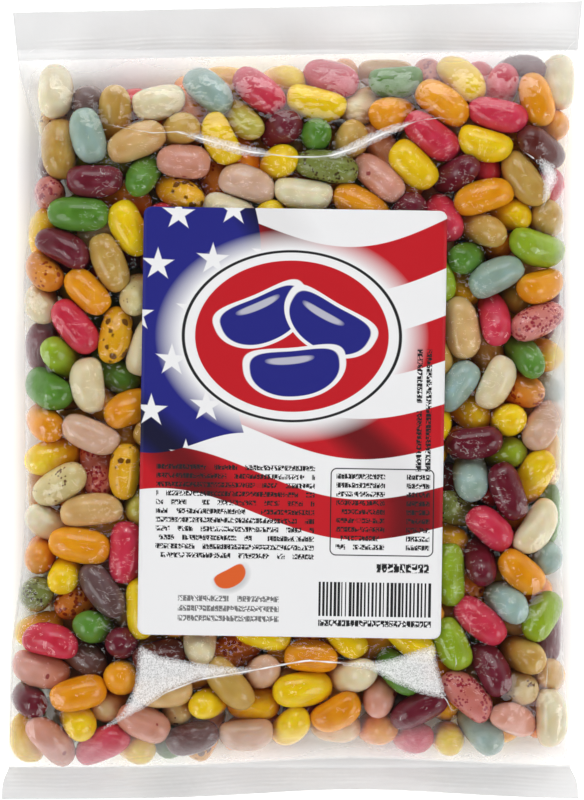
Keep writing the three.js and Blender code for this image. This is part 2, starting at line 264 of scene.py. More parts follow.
# The beans on the badge: middle, half length and half width, and turn
BADGE_BEANS = [
    ((-8.5, 29.5), (12, 6.3), 0.42),
    ((9.5, 27.5), (12, 6.3), -0.5),
    ((0.5, 14.5), (12.5, 6.3), 0.1),
]
LOOKS_SEED = 7


def smooth_line(pairs):
    """A smooth line through (position, value) pairs."""
    place, value = np.array(pairs, float).T
    index = np.arange(len(place))
    after = np.minimum(index + 1, len(place) - 1)
    before = np.maximum(index - 1, 0)
    slopes = (value[after] - value[before]) / (place[after] - place[before])

    def line(at):
        i = np.clip(np.searchsorted(place, at, side="left") - 1, 0, len(place) - 2)
        span = place[i + 1] - place[i]
        t = np.clip((at - place[i]) / span, 0, 1)
        s = 1 - t
        ends = value[i] * s * s * (1 + 2 * t) + value[i + 1] * t * t * (3 - 2 * t)
        return ends + span * s * t * (slopes[i] * s - slopes[i + 1] * t)

    return line


left_inset = smooth_line(LEFT_INSETS)
right_inset = smooth_line(RIGHT_INSETS)
heap_foot = smooth_line(HEAP_FOOT)
heap_top = smooth_line(HEAP_TOP)


def left_edge(along):
    return left_inset(along) - PACK_WIDTH / 2


def right_edge(along):
    return PACK_WIDTH / 2 - right_inset(along)


def lower_cut(x):
    return FOOT_BOW["rise"] * np.exp(-(((x - FOOT_BOW["x"]) / FOOT_BOW["half"]) ** 2))


def upper_cut(x):
    return PACK_LENGTH - TOP_EDGE_SLANT * (0.5 - x / PACK_WIDTH)


def swell(distance, reach, power):
    return (1 - (1 - np.clip(distance / reach, 0, 1)) ** power) ** (1 / power)


def side_distance(x, y):
    along = y + PACK_LENGTH / 2
    return np.minimum(x - left_edge(along), right_edge(along) - x)


def swollen(x, y, side):
    """How far the front or back film has swollen from the pack's edge: 0 to 1."""
    along = y + PACK_LENGTH / 2
    ends = np.minimum(along - lower_cut(x) - LOWER_SEAL, upper_cut(x) - UPPER_SEAL - along)
    long_way = swell(ends, END_SWELL[side], END_SWELL["power"])
    return long_way * swell(side_distance(x, y), SIDE_SWELL[side], SIDE_SWELL["power"])


def rim_height(y):
    """Where front and back film meet, lower at the seals than along the sides."""
    along = y + PACK_LENGTH / 2
    ends = np.minimum(along - LOWER_SEAL, PACK_LENGTH - UPPER_SEAL - along)
    return SEAL_HEIGHT + (SIDE_HEIGHT - SEAL_HEIGHT) * swell(ends, END_SWELL["front"], 2)


def front_height(x, y):
    rim = rim_height(y)
    return rim + (FILL_HEIGHT - rim) * swollen(x, y, "front")


def back_height(x, y):
    return rim_height(y) * (1 - swollen(x, y, "back"))


def draw_from(seed):
    """A seeded source of numbers from 0 to 1."""
    state = seed
    while True:
        state = (state * 1664525 + 1013904223) % 4294967296
        yield state / 4294967296


def scatter_beans():
    """Middles, axes, lengths and widths of beans spread through the bag at random headings."""
    draw = draw_from(SEED)
    middles, axes, lengths, widths = [], [], [], []
    k = 0
    while len(middles) < BEAN_COUNT:
        across, along, level, keep = [k * step % 1 for step in EVEN_STEPS]
        k += 1
        heading = next(draw) * math.pi
        pitch = (next(draw) + next(draw) + next(draw) - 1.5) * MOST_PITCH
        length = BEAN_LENGTH * (1 + LENGTH_SPREAD * (2 * next(draw) - 1))
        width = BEAN_WIDTH * (1 + WIDTH_SPREAD * (2 * next(draw) - 1))
        x = (across - 0.5) * PACK_WIDTH
        y = (along - 0.5) * PACK_LENGTH
        room = front_height(x, y) - back_height(x, y)
        if room < width or keep * FILL_HEIGHT > room:
            continue
        flat = math.cos(pitch)
        axes.append((math.cos(heading) * flat, math.sin(heading) * flat, math.sin(pitch)))
        middles.append((x, y, back_height(x, y) + width / 2 + level * (room - width)))
        lengths.append(length)
        widths.append(width)
    return np.array(middles), np.array(axes), np.array(lengths), np.array(widths)


def film_push(lobes, radii):
    """The push that brings each lobe back inside the film."""
    x, y, z = lobes[..., 0], lobes[..., 1], lobes[..., 2]
    push = np.zeros_like(lobes)
    for height, up in ((front_height, 1), (back_height, -1)):
        along_x = (height(x + SLOPE_STEP, y) - height(x - SLOPE_STEP, y)) / (2 * SLOPE_STEP)
        along_y = (height(x, y + SLOPE_STEP) - height(x, y - SLOPE_STEP)) / (2 * SLOPE_STEP)
        along_x = np.clip(along_x, -STEEPEST, STEEPEST)
        along_y = np.clip(along_y, -STEEPEST, STEEPEST)
        lean = np.sqrt(1 + along_x ** 2 + along_y ** 2)
        short = np.maximum(0, radii - up * (height(x, y) - z) / lean)
        push += np.stack([along_x, along_y, -np.ones_like(x)], -1) * (up * short / lean)[..., None]
    along = y + PACK_LENGTH / 2
    push[..., 0] += np.maximum(0, left_edge(along) + radii - x) - np.maximum(0, x + radii - right_edge(along))
    across = x + PACK_WIDTH / 2
    lowest = lower_cut(x) + LOWER_SEAL + heap_foot(across) + radii
    highest = upper_cut(x) - UPPER_SEAL - heap_top(across) - radii
    push[..., 1] += np.maximum(0, lowest - along) - np.maximum(0, along - highest)
    return push


def settle(middles, axes, lengths, widths):
    """Lets the beans push each other and the film until they lie side by side."""
    radii = widths[:, None] * LOBE_RADII
    offsets = (lengths[:, None] * LOBE_SPACING * np.array([-1, 0, 1]))[..., None]
    reach = (lengths[:, None] + lengths) / 2
    for _ in range(SETTLING_STEPS):
        lobes = middles[:, None] + axes[:, None] * offsets
        apart = ((middles[:, None] - middles) ** 2).sum(-1)
        one, other = np.nonzero(np.triu(apart < reach ** 2, 1))
        gap = lobes[one][:, :, None] - lobes[other][:, None]
        size = np.linalg.norm(gap, axis=-1)
        overlap = np.maximum(0, radii[one][:, :, None] + radii[other][:, None] - size)
        shove = gap * (overlap / (2 * size))[..., None]
        push = np.zeros_like(lobes)
        np.add.at(push, one, shove.sum(2))
        np.add.at(push, other, -shove.sum(1))
        lobes += SETTLING_STRENGTH * push
        lobes += film_push(lobes, radii)
        middles = lobes.mean(1)
        axes = lobes[:, 2] - lobes[:, 0]
        axes /= np.linalg.norm(axes, axis=1)[:, None]
    return middles, axes


class Wire:
    """A node's output that sums and products can be written with, or a bare node tree."""

    def __init__(self, tree, socket=None):
        self.tree = tree
        self.socket = socket

    def node(self, kind, settings=None, sockets=None, out=0):
        """Adds a node, sets it up, and gives the wire from one of its outputs."""
        made = self.tree.nodes.new(kind)
        for name, value in (settings or {}).items():
            setattr(made, name, value)
        for name, value in (sockets or {}).items():
            if isinstance(value, Wire):
                self.tree.links.new(value.socket, made.inputs[name])
            else:
                made.inputs[name].default_value = value
        return Wire(self.tree, made.outputs[out] if made.outputs else None)

    def maths(self, operation, *values, clamp=False):
        settings = {"operation": operation, "use_clamp": clamp}
        return self.node("ShaderNodeMath", settings, dict(enumerate(values)))

    def __add__(self, other):
        return self.maths("ADD", self, other)

    __radd__ = __add__

    def __sub__(self, other):
        return self.maths("SUBTRACT", self, other)

    def __rsub__(self, other):
        return self.maths("SUBTRACT", other, self)

    def __mul__(self, other):
        return self.maths("MULTIPLY", self, other)

    __rmul__ = __mul__

    def __truediv__(self, other):
        return self.maths("DIVIDE", self, other)

    def __pow__(self, other):
        return self.maths("POWER", self, other)

    def __mod__(self, other):
        return self.maths("FLOORED_MODULO", self, other)

    def __abs__(self):
        return self.maths("ABSOLUTE", self)

    def floor(self):
        return self.maths("FLOOR", self)

    def sine(self):
        return self.maths("SINE", self)

    def clamped(self):
        return self.maths("ADD", self, 0, clamp=True)

    def over(self, edge, softness):
        """0 below an edge and 1 above it, with a soft step between."""
        return self.maths("MULTIPLY_ADD", self, 1 / softness, 0.5 - edge / softness, clamp=True)

    def under(self, edge, softness):
        return self.maths("MULTIPLY_ADD", self, -1 / softness, 0.5 + edge / softness, clamp=True)

    def between(self, low, high, softness):
        return self.over(low, softness) * self.under(high, softness)

    def larger(self, other):
        return self.maths("MAXIMUM", self, other)

    def smaller(self, other):
        return self.maths("MINIMUM", self, other)

    def mix(self, factor, a, b, blend="MIX"):
        """A colour between two others."""
        settings = {"data_type": "RGBA", "blend_type": blend}
        return self.node("ShaderNodeMix", settings, {0: factor, 6: a, 7: b}, out=2)

    def vector(self, operation, other):
        return self.node("ShaderNodeVectorMath", {"operation": operation}, {0: self, 1: other})

    def scaled(self, share):
        return self.node("ShaderNodeVectorMath", {"operation": "SCALE"}, {0: self, "Scale": share})

    def parts(self):
        return [self.node("ShaderNodeSeparateXYZ", None, {0: self}, out) for out in range(3)]

    def noise(self, scale, detail=0.0):
        """Soft noise over the places that this wire carries."""
        return self.node("ShaderNodeTexNoise", None, {"Vector": self, "Scale": scale, "Detail": detail})

    def roll(self, dimensions="3D"):
        """A number from 0 to 1 for each value of this wire, with no link to those beside it."""
        socket = "W" if dimensions == "1D" else "Vector"
        return self.node("ShaderNodeTexWhiteNoise", {"noise_dimensions": dimensions}, {socket: self}, "Value")

    def relief(self, strength, distance):
        """The normal that this wire gives where it is a height."""
        return self.node("ShaderNodeBump", None, {"Strength": strength, "Distance": distance, "Height": self})

    def stored(self, name):
        """A number that the mesh stores for each of its points."""
        return self.node("ShaderNodeAttribute", {"attribute_name": name}, out="Fac")


def linear(red, green, blue):
    """An sRGB colour of 0 to 255 as a linear one with alpha."""
    parts = [channel / 255 for channel in (red, green, blue)]
    return tuple(c / 12.92 if c <= 0.04045 else ((c + 0.055) / 1.055) ** 2.4 for c in parts) + (1.0,)


def new_material(name):
    """An empty material, and the wire that its nodes are made from."""
    material = bpy.data.materials.new(name)
    material.use_nodes = True
    material.node_tree.nodes.clear()
    return material, Wire(material.node_tree)


def finish_material(sheet, shader):
    sheet.node("ShaderNodeOutputMaterial", None, {"Surface": shader})


# Kinds of bean: name, sRGB colour, share of the mix, how clear the sugar is, and its specks if any
FLAVOURS = [
    ("yellow", (255, 220, 0), 28, 0.7, None),
    ("orange", (246, 166, 6), 20, 0.8, None),
    ("spotted_orange", (234, 154, 36), 4, 0.8, {"colour": (150, 44, 14), "pitch": 1.5, "patches": 0.52}),
    ("mid_green", (88, 146, 42), 7, 0.7, None),
    ("lime_green", (152, 186, 26), 6, 0.8, None),
    ("maroon", (108, 20, 40), 11, 0.7, None),
    ("rose", (218, 48, 82), 10, 0.7, None),
    ("pale_pink", (226, 166, 152), 4, 0.9, {"colour": (150, 50, 60), "pitch": 3.2, "patches": 0.66}),
    ("flecked_pink", (218, 132, 128), 3, 0.8, {"colour": (150, 18, 50), "pitch": 1.1, "patches": 0.46}),
    ("pale_blue", (158, 190, 188), 7, 0.8, None),
    ("cream", (240, 233, 202), 15, 1.0, None),
    ("honey", (206, 170, 82), 9, 1.0, None),
    ("peach", (226, 190, 128), 4, 1.0, None),
    ("blush", (226, 192, 174), 4, 1.0, None),
    ("mottled_olive", (124, 138, 58), 4, 0.6, {"colour": (66, 44, 26), "pitch": 1.0, "patches": 0.5}),
    ("flecked_cream", (220, 208, 152), 4, 0.9, {"colour": (100, 60, 36), "pitch": 1.2, "patches": 0.6}),
    ("mauve", (106, 80, 84), 3, 0.6, None),
    ("dark_brown", (96, 34, 30), 2, 0.6, None),
    ("flecked_yellow", (244, 188, 14), 3, 0.7, {"colour": (90, 40, 12), "pitch": 2.6, "patches": 0.52}),
    ("pale_lime", (202, 198, 84), 3, 0.9, None),
]


def bean_skin(name, colour, clearness, specks):
    """A sugar shell: mottled colour that differs from bean to bean, specks, a fine skin and a polish, with
    painted shade deep in the heap.
    """
    material, sheet = new_material(f"{name}_shell")
    place = sheet.node("ShaderNodeTexCoord", out="Object")
    base = np.array(colour) * SHELL_COLOUR
    darker = linear(*(base * SHELL_DARKER))
    lighter = linear(*(base + (255 - base) * SHELL_LIGHTER))
    clouds = place.noise(SHELL_CLOUDS)
    paint = sheet.mix(sheet.stored("tone") * 0.4 + clouds * 1.1 - 0.3, darker, lighter)
    if specks:
        cells = {"Vector": place, "Scale": 1 / (specks["pitch"] * MM), "Randomness": 1.0}
        near = sheet.node("ShaderNodeTexVoronoi", None, cells, out="Distance")
        reach = place.noise(SPECK_PATCHES, 1.0).over(specks["patches"], 0.22) * 0.5
        dots = (reach + place.noise(SPECK_RAGGED, 2.0) * 0.3 - 0.17 - near).over(0, 0.08)
        paint = sheet.mix(dots * 0.88, paint, linear(*specks["colour"]))
    # Painted shade: the shells' colour is darkened and warmed by how deep each point lies inside the film
    paint = sheet.mix(sheet.stored("inner").over(PAINTED_SHADE_DEPTH, PAINTED_SHADE_DEPTH), paint, DEEP_PAINTED_SHADE, "MULTIPLY")
    skin = place.noise(SHELL_SKIN)
    finish_material(sheet, sheet.node("ShaderNodeBsdfPrincipled", None, {
        "Base Color": paint,
        "Roughness": skin * 0.08 + 0.05,
        "Subsurface Weight": clearness * 0.8,
        "Normal": (skin * 0.35 + clouds).relief(0.35, 0.0003),
        **SUGAR,
    }))
    return material


def bean_tree():
    """Geometry Nodes that set a blunt bean on each point, then bend and taper it by the point's values."""
    tree = bpy.data.node_groups.new("beans_on_points", "GeometryNodeTree")
    for name, kind in (("Geometry", "Geometry"), ("Sides", "Int"), ("Rings", "Int"),
                       ("Bluntness", "Float"), ("Dents", "Float"), ("Material", "Material")):
        tree.interface.new_socket(name, in_out="INPUT", socket_type=f"NodeSocket{kind}")
    tree.interface.new_socket("Geometry", in_out="OUTPUT", socket_type="NodeSocketGeometry")
    given = tree.nodes.new("NodeGroupInput").outputs
    work = Wire(tree)
    points, sides, rings, bluntness, dents, material = [Wire(tree, given[k]) for k in range(6)]

    def stored(name, kind="FLOAT_VECTOR"):
        return work.node("GeometryNodeInputNamedAttribute", {"data_type": kind}, {"Name": name})

    def number(name):
        return stored(name, "FLOAT")

    ball = work.node("GeometryNodeMeshUVSphere", None, {"Segments": sides, "Rings": rings, "Radius": 1.0})
    x, y, z = work.node("GeometryNodeInputPosition").parts()
    power = work.maths("DIVIDE", 2.0, bluntness)
    widen = work.maths("SQRT", x * x + y * y).larger(1e-6) ** (power - 1)
    lengthen = work.maths("SIGN", z) * abs(z) ** power
    blunted = work.node("ShaderNodeCombineXYZ", None, {0: x * widen, 1: y * widen, 2: lengthen})
    bean = work.node("GeometryNodeSetPosition", None, {0: ball, "Position": blunted})
    height = work.node("GeometryNodeInputPosition").parts()[2]
    bean = work.node("GeometryNodeStoreNamedAttribute", {"data_type": "FLOAT", "domain": "POINT"},
                     {0: bean, "Name": "reach", "Value": height})
    turn = work.node("FunctionNodeAxesToRotation", {"primary_axis": "Z", "secondary_axis": "X"},
                     {0: stored("axis"), 1: stored("across")})
    heap = work.node("GeometryNodeInstanceOnPoints", None,
                     {"Points": points, "Instance": bean, "Rotation": turn, "Scale": stored("size")})
    heap = work.node("GeometryNodeRealizeInstances", None, {0: heap})
    reach = number("reach")
    spot = work.node("GeometryNodeInputPosition").vector("SUBTRACT", stored("middle"))
    spine = stored("axis").scaled(reach * number("half"))
    taper = spot.vector("SUBTRACT", spine).scaled(reach * number("taper"))
    bend = stored("across").scaled(number("bend") * (1 / 3 - reach * reach))
    heap = work.node("GeometryNodeSetPosition", None, {0: heap, "Offset": taper.vector("ADD", bend)})
    uneven = work.node("GeometryNodeInputPosition").noise(DENTS_SCALE, 1.0) - 0.5
    outward = work.node("GeometryNodeInputNormal").scaled(uneven * dents)
    heap = work.node("GeometryNodeSetPosition", None, {0: heap, "Offset": outward})
    heap = work.node("GeometryNodeSetShadeSmooth", None, {0: heap})
    heap = work.node("GeometryNodeSetMaterial", None, {0: heap, "Material": material})
    tree.links.new(heap.socket, tree.nodes.new("NodeGroupOutput").inputs[0])
    return tree


def new_object(name, data):
    made = bpy.data.objects.new(name, data)
    bpy.context.collection.objects.link(made)
    return made


def add_attribute(mesh, name, values):
    """Stores a number or a vector for each point of a mesh."""
    values = np.ascontiguousarray(values, np.float32)
    kind, field = ("FLOAT_VECTOR", "vector") if values.ndim == 2 else ("FLOAT", "value")
    mesh.attributes.new(name, kind, "POINT").data.foreach_set(field, values.ravel())


def shaped_by(tree, made, settings):
    """Runs a Geometry Nodes tree on an object and keeps what it makes as a plain mesh."""
    modifier = made.modifiers.new("shape", "NODES")
    modifier.node_group = tree
    for item in tree.interface.items_tree:
        if item.in_out == "INPUT" and item.name in settings:
            modifier[item.identifier] = settings[item.name]
    ready = made.evaluated_get(bpy.context.evaluated_depsgraph_get())
    mesh = bpy.data.meshes.new_from_object(ready)
    made.modifiers.clear()
    made.data = mesh
    return made


def lowest_points(middles, axes, across, bends, lengths, widths):
    """How low each bean reaches."""
    reach = np.linspace(-1, 1, BEAN_STATIONS)[:, None]
    spine = middles[:, 2] + axes[:, 2] * reach * lengths / 2 + across[:, 2] * bends * (1 / 3 - reach ** 2)
    girth = (1 - abs(reach) ** BEAN_BLUNTNESS) ** (1 / BEAN_BLUNTNESS)
    girth = girth * (1 + BEAN_TAPER * abs(reach)) * widths / 2
    return (spine - girth * np.sqrt(1 - axes[:, 2] ** 2)).min(0)


def dealt_kinds(middles, chance):
    """A kind for each bean: as many of each as its share says, and seldom two alike side by side."""
    count = len(middles)
    shares = np.cumsum([flavour[2] for flavour in FLAVOURS])
    kinds = chance.permutation(np.searchsorted(shares / shares[-1], (np.arange(count) + 0.5) / count))
    close = np.linalg.norm(middles[:, None] - middles, axis=-1) < ALIKE_APART
    np.fill_diagonal(close, False)
    for one in np.tile(np.arange(count), DEALING_ROUNDS):
        if (close[one] & (kinds == kinds[one])).any():
            other = chance.integers(count)
            kinds[[one, other]] = kinds[[other, one]]
    return kinds


def make_beans(chance):
    """One piece for each kind of bean, lying where the beans of the solid lie."""
    middles, axes, lengths, widths = scatter_beans()
    middles, axes = settle(middles, axes, lengths, widths)
    across = np.stack([-axes[:, 1], axes[:, 0], np.zeros(len(axes))], -1)
    across /= np.linalg.norm(across, axis=1)[:, None]
    roll = chance.normal(0, BEAN_ROLL, len(axes))[:, None]
    across = across * np.cos(roll) + np.cross(axes, across) * np.sin(roll)
    bends = chance.uniform(*BEAN_BEND, len(axes)) * widths * chance.choice([-1, 1], len(axes))
    margin = FILM_OVER_BEANS + FILM_HALF + BEAN_DENTS / 2
    middles[:, 2] += np.maximum(0, margin - lowest_points(middles, axes, across, bends, lengths, widths))
    tapers = chance.uniform(-BEAN_TAPER, BEAN_TAPER, len(axes))
    flat = 1 - chance.uniform(0, BEAN_FLATNESS, len(axes))
    sizes = np.stack([widths * flat, widths, lengths], -1) / 2
    tones = chance.uniform(0, 1, len(axes))
    kinds = dealt_kinds(middles, chance)
    measures = {
        "middle": middles * MM, "axis": axes, "across": across, "size": sizes * MM,
        "half": lengths / 2 * MM, "bend": bends * MM, "taper": tapers, "tone": tones,
    }
    tree = bean_tree()
    pieces = []
    for kind, (name, colour, _, clearness, specks) in enumerate(FLAVOURS):
        own = kinds == kind
        mesh = bpy.data.meshes.new(f"beans_{name}")
        mesh.from_pydata(middles[own] * MM, [], [])
        for field, values in measures.items():
            add_attribute(mesh, field, values[own])
        pieces.append(shaped_by(tree, new_object(f"beans_{name}", mesh), {
            "Sides": BEAN_SIDES, "Rings": BEAN_RINGS, "Bluntness": BEAN_BLUNTNESS, "Dents": BEAN_DENTS * MM,
            "Material": bean_skin(name, colour, clearness, specks),
        }))
    # How deep each point lies in the heap, which the shells' painted shade reads
    for piece in pieces:
        x, y, z = np.array([point.co for point in piece.data.vertices]).T / MM
        add_attribute(piece.data, "inner", np.minimum(front_height(x, y) - z, z - back_height(x, y)))
    return pieces


def heap_of(pieces):
    """All the beans as one tree that rays can be cast at, in millimetres."""
    points, faces = [], []
    for piece in pieces:
        start = len(points)
        points.extend(Vector(point.co) / MM for point in piece.data.vertices)
        faces.extend([start + v for v in face.vertices] for face in piece.data.polygons)
    return BVHTree.FromPolygons(points, faces)


def heights_seen(heap, x, y, up):
    """The height of the beans over or under each place, and a far one where there are none."""
    start = RAY_START * up
    found = np.full(x.shape, -start, float)
    for place in np.ndindex(x.shape):
        spot = heap.ray_cast(Vector((x[place], y[place], start)), Vector((0, 0, -up)))[0]
        if spot:
            found[place] = spot.z
    return found


def film_places():
    """Distances along the bag, and the x and y of each point of one film layer."""
    lower = np.arange(0, LOWER_SEAL, SEAL_STEP)
    upper = np.arange(PACK_LENGTH, PACK_LENGTH - UPPER_SEAL, -SEAL_STEP)[::-1]
    fill = np.linspace(LOWER_SEAL, upper[0] - SEAL_STEP, round((upper[0] - LOWER_SEAL) / FILM_STEP))
    along = np.concatenate([lower, fill, upper])[:, None]
    even = np.linspace(0, 1, FILM_COLUMNS)
    crowded = 0.5 - 0.5 * np.cos(math.pi * even)
    across = even + (crowded - even) * SIDE_CROWDING
    x = left_edge(along) + (right_edge(along) - left_edge(along)) * across
    y = lower_cut(x) + (upper_cut(x) - lower_cut(x)) * along / PACK_LENGTH - PACK_LENGTH / 2
    return along, x, y


def from_stretch(x, y, start, end):
    """How far along a straight stretch each place lies, 0 to 1, how far away, and how far off its line."""
    (ax, ay), (bx, by) = start, end
    length = math.dist(start, end)
    t = np.clip(((x - ax) * (bx - ax) + (y - ay) * (by - ay)) / length ** 2, 0, 1)
    away = np.hypot(x - ax - t * (bx - ax), y - ay - t * (by - ay))
    return t, away, ((bx - ax) * (y - ay) - (by - ay) * (x - ax)) / length


def nearest_fold(x, y):
    """For each place the nearest fold: how far off its line to which side, how far away, and how strong."""
    side, near, strength = np.full(x.shape, FAR), np.full(x.shape, FAR), np.zeros(x.shape)
    for most, route in FOLDS:
        for k, (start, end) in enumerate(zip(route, route[1:])):
            t, away, off = from_stretch(x, y, start, end)
            from_end = np.minimum(k + t, len(route) - 1 - k - t) / (len(route) - 1)
            strength = np.where(away < near, most * np.clip(FOLD_TAPER * from_end, 0, 1), strength)
            side = np.where(away < near, off, side)
            near = np.minimum(away, near)
    return side, near, strength


def inside_outline(x, y, outline):
    """How far inside an outline each place lies, and less than 0 outside it."""
    inside = np.zeros(x.shape, bool)
    nearest = np.full(x.shape, FAR)
    for (ax, ay), (bx, by) in zip(outline, outline[1:] + outline[:1]):
        crosses = (ay > y) != (by > y)
        inside ^= crosses & (x < ax + (bx - ax) * (y - ay) / (by - ay or 1))
        nearest = np.minimum(nearest, from_stretch(x, y, (ax, ay), (bx, by))[1])
    return np.where(inside, nearest, -nearest)


def label_place(x, y):
    """Places measured from the label's middle along its own sides."""
    dx, dy = x - LABEL_MIDDLE[0], y - LABEL_MIDDLE[1]
    cosine, sine = math.cos(LABEL_TURN), math.sin(LABEL_TURN)
    return dx * cosine + dy * sine, dy * cosine - dx * sine


def from_label(across, up):
    cosine, sine = math.cos(LABEL_TURN), math.sin(LABEL_TURN)
    return LABEL_MIDDLE[0] + across * cosine - up * sine, LABEL_MIDDLE[1] + up * cosine + across * sine


def neighbours(grid):
    """The grid moved by one place to each of its four sides."""
    wide = np.pad(grid, 1, mode="edge")
    return wide[:-2, 1:-1], wide[2:, 1:-1], wide[1:-1, :-2], wide[1:-1, 2:]


def smoothed(grid, steps):
    for _ in range(steps):
        grid = sum(neighbours(grid)) / 4
    return grid


def highest_nearby(grid, steps):
    for _ in range(steps):
        grid = np.maximum.reduce([grid, *neighbours(grid)])
    return grid


def stretched(height, held, bed, sag, steps):
    """A taut skin over a bed: each free point settles to its neighbours' mean, but not below the bed."""
    for _ in range(steps):
        height = np.where(held, height, np.maximum(smoothed(height, 1) + sag, bed))
    return height


def settled_label(heap):
    """The label's underside as a function of place: a stiff sheet that the beans under it lift."""
    across = np.linspace(-LABEL_WIDTH / 2, LABEL_WIDTH / 2, round(LABEL_WIDTH / LABEL_STEP))
    up = np.linspace(-LABEL_LENGTH / 2, LABEL_LENGTH / 2, round(LABEL_LENGTH / LABEL_STEP))
    x, y = from_label(*np.meshgrid(across, up))
    low = front_height(x, y)
    bed = np.maximum(heights_seen(heap, x, y, 1) + 2 * LABEL_OVER_FILM, low - LABEL_SINK)
    height = smoothed(stretched(low, False, bed, 0, LABEL_STIFFNESS), LABEL_SMOOTHING)
    height = height + max(0, (bed - height).max()) * LABEL_CLEARANCE

    def under(x, y):
        place_across, place_up = label_place(x, y)
        column = np.clip(np.interp(place_across, across, np.arange(len(across))), 0, len(across) - 1.001)
        row = np.clip(np.interp(place_up, up, np.arange(len(up))), 0, len(up) - 1.001)
        c, r = column.astype(int), row.astype(int)
        fc, fr = column - c, row - r
        lower = height[r, c] * (1 - fc) + height[r, c + 1] * fc
        upper = height[r + 1, c] * (1 - fc) + height[r + 1, c + 1] * fc
        return lower * (1 - fr) + upper * fr

    return under


def make_label(under):
    """The paper label: a thin closed sheet with round corners."""
    half_long, half_wide = LABEL_LENGTH / 2, LABEL_WIDTH / 2
    arc = LABEL_CORNER * np.sin(np.linspace(0, math.pi / 2, LABEL_CORNER_STEPS))
    straight = half_long - LABEL_CORNER
    middle = np.linspace(-straight, straight, round(2 * straight / LABEL_STEP))[1:-1]
    up = np.concatenate([-straight - arc[::-1], middle, straight + arc])[:, None]
    beyond = np.maximum(0, abs(up) - straight)
    reach = half_wide - LABEL_CORNER + np.sqrt(np.maximum(0, LABEL_CORNER ** 2 - beyond ** 2))
    across = reach * np.linspace(-1, 1, round(LABEL_WIDTH / LABEL_STEP))
    x, y = from_label(across, up + 0 * across)
    height = under(x, y)
    return new_object("label_sheet", closed_sheet("label_sheet", x, y, [height + LABEL_THICKNESS, height]))


def make_film(heap, under_label, chance):
    """The closed skin of film: a taut front over the beans, a flat back, and two pressed seals."""
    along, x, y = film_places()
    rim = rim_height(y)
    inside = np.minimum(along - LOWER_SEAL, PACK_LENGTH - UPPER_SEAL - along)
    held = (inside <= 0) | (side_distance(x, y) <= TOUCHING)
    beans = highest_nearby(heights_seen(heap, x, y, 1), 1) + FILM_OVER_BEANS
    bed = np.where(held, rim, beans)
    bulge = SIDE_BULGE * np.exp(-((side_distance(x, y) / SIDE_BULGE_REACH) ** 2)) - FILM_SAG
    front = stretched(np.where(held, rim, front_height(x, y)), held, bed, bulge, FILM_STEPS)
    across, up = label_place(x, y)
    on_label = (abs(across) < LABEL_WIDTH / 2) & (abs(up) < LABEL_LENGTH / 2)
    fold_side, fold_near, strength = nearest_fold(x, y)
    facet = np.max([inside_outline(x, y, outline) for outline in FACETS], 0)
    ridge = strength * FOLD_LIFT * np.exp(-((fold_near / FOLD_SPREAD) ** 2))
    ridge = ridge + FACET_LIFT * np.clip(facet / FOLD_SPREAD, 0, 1)
    bed = np.where(~held & (ridge > 0.1 * FOLD_LIFT), np.maximum(bed, front + ridge), bed)
    front = np.where(on_label, under_label(x, y) - LABEL_OVER_FILM, front)
    front = stretched(front, held | on_label, np.where(on_label, front, bed), bulge, FILM_STEPS)
    under = heights_seen(heap, x, y, -1) - FILM_OVER_BEANS
    back = np.where(held, rim, back_height(x, y))
    back = -stretched(-back, held, -np.where(held, rim, under), 0, FILM_STEPS // 2)
    back = np.maximum(back, LOWEST_FILM)
    ribs = seal_ribs(along, x, LOWER_RIBS, chance) + seal_ribs(along, x, UPPER_RIBS, chance)
    layers = [np.where(held, rim + FILM_HALF, front) + ribs, np.where(held, rim - FILM_HALF, back) + ribs]
    mesh = closed_sheet("film_bag", x, y, layers)
    haze = frosted(x, y, front - highest_nearby(beans, HAZE_SPAN), inside, on_label)
    none, far = np.zeros(x.shape), np.full(x.shape, FAR)
    shown = {
        "fold_side": (fold_side, far), "fold_near": (fold_near, far), "fold_strength": (strength, none),
        "facet": (facet, -far), "haze": (haze, none),
    }
    for name, (before, behind) in shown.items():
        add_attribute(mesh, name, np.concatenate([before.ravel(), behind.ravel()]))
    return new_object("film_bag", mesh)


def frosted(x, y, gap, inside, on_label):
    """How frosted the front film looks: up to 1 where it stands off the beans, and 1 in the seals."""
    haze = np.where(on_label, 0, np.clip((gap - HAZE_START) / HAZE_RANGE, 0, 1)) * haze_patches(x, y)
    haze = np.maximum(haze, SIDE_HAZE * np.exp(-((side_distance(x, y) / SIDE_HAZE_REACH) ** 2)))
    haze = np.maximum(haze, END_HAZE * np.exp(-((inside / END_HAZE_REACH) ** 2)))
    return np.where(inside <= 0, 1, smoothed(haze, HAZE_SMOOTHING))


def haze_patches(x, y):
    """Where haze gathers, in soft uneven patches: 0.35 to 1."""
    drift = x + 6 * np.sin(y / 9 + 1)
    return 0.675 + 0.325 * np.sin(drift / 8 + 0.6) * np.sin(y / 7 + x / 17 + 0.4)


def seal_ribs(along, x, ribs, chance):
    """Wavy ribs that run across a seal and come and go along it."""
    wobble = 0
    for wave in RIB_WAVES:
        wobble = wobble + wave / 75 * np.sin(x / wave * 2 + chance.uniform(0, ANY_PHASE))
    fade = np.sin(x / 23 + chance.uniform(0, ANY_PHASE)) * np.sin(x / 9 + chance.uniform(0, ANY_PHASE))
    start = np.clip((along - ribs["from"]) / RIB_FADE, 0, 1)
    stop = np.clip((ribs["to"] - along) / RIB_FADE, 0, 1)
    wave = np.sin((along + wobble) * 2 * math.pi / ribs["pitch"]) + 0.5 * np.sin((along + wobble * 2) * 2.3)
    return ribs["height"] * (start * stop) * (0.5 + 0.5 * fade) * wave


